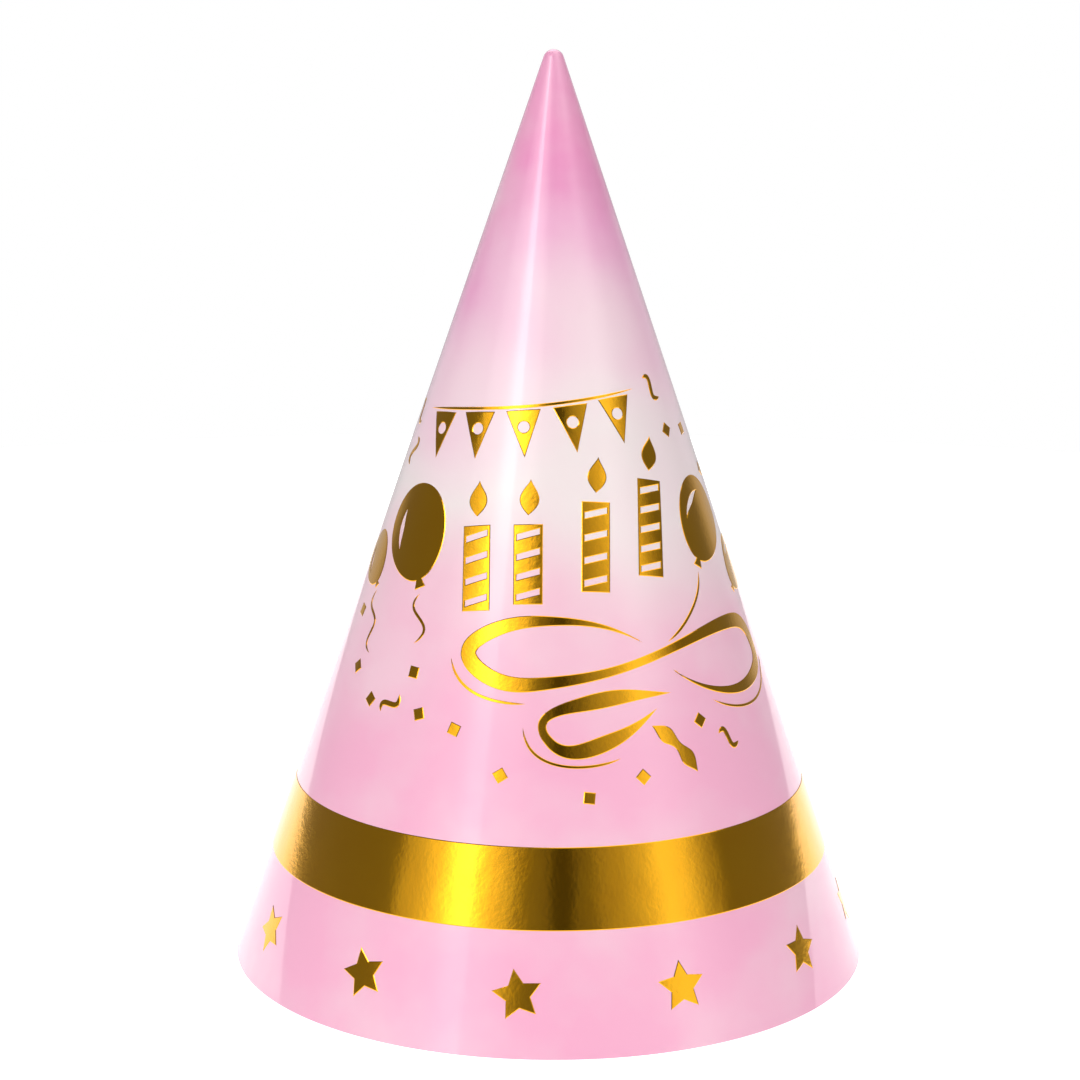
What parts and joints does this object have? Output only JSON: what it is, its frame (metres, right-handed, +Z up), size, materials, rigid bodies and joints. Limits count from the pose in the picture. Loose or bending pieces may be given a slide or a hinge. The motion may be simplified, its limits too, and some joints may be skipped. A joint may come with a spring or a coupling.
{
  "type": "cone party hat",
  "caption": "Rolled card cone party hat with closed tip, gold foil band, star border, birthday motifs and punched elastic holes.",
  "frame": {"origin": "centre of the round rim, on the plane that the hat stands on", "axes": "+Z up the cone's axis to the tip, -Y the front where the motifs are, +X to the right as seen from the front"},
  "size_m": [0.114, 0.114, 0.1618],
  "materials": {
    "printed_card": "glossy coated, pink clouds, deeper pink at the tip",
    "seam_glue": "dried clear glue",
    "gold_foil": "mirror-bright hot-stamped foil"
  },
  "bodies": {
    "root": {"balloon_large_left": "gold_foil", "balloon_large_right": "gold_foil", "balloon_small_left": "gold_foil", "balloon_small_right": "gold_foil", "bunting_cord": "gold_foil", "candle_1": "gold_foil", "candle_2": "gold_foil", "candle_3": "gold_foil", "candle_4": "gold_foil", "cone_board": "printed_card", "confetti_01": "gold_foil", "confetti_02": "gold_foil", "confetti_03": "gold_foil", "confetti_04": "gold_foil", "confetti_05": "gold_foil", "confetti_06": "gold_foil", "confetti_07": "gold_foil", "confetti_08": "gold_foil", "confetti_09": "gold_foil", "confetti_10": "gold_foil", "confetti_11": "gold_foil", "confetti_12": "gold_foil", "confetti_13": "gold_foil", "echo_left": "gold_foil", "echo_low": "gold_foil", "echo_right": "gold_foil", "flame_1": "gold_foil", "flame_2": "gold_foil", "flame_3": "gold_foil", "flame_4": "gold_foil", "gold_band": "gold_foil", "pennant_1": "gold_foil", "pennant_2": "gold_foil", "pennant_3": "gold_foil", "pennant_4": "gold_foil", "pennant_5": "gold_foil", "seam_glue": "seam_glue", "star_01": "gold_foil", "star_02": "gold_foil", "star_03": "gold_foil", "star_04": "gold_foil", "star_05": "gold_foil", "star_06": "gold_foil", "star_07": "gold_foil", "star_08": "gold_foil", "star_09": "gold_foil", "star_10": "gold_foil", "star_11": "gold_foil", "star_12": "gold_foil", "streamer_1": "gold_foil", "streamer_2": "gold_foil", "streamer_3": "gold_foil", "streamer_4": "gold_foil", "streamer_5": "gold_foil", "string_large_left": "gold_foil", "string_large_right": "gold_foil", "string_small_left": "gold_foil", "swirl_long": "gold_foil", "swirl_small": "gold_foil", "swirl_tail": "gold_foil"}
  },
  "joints": []
}
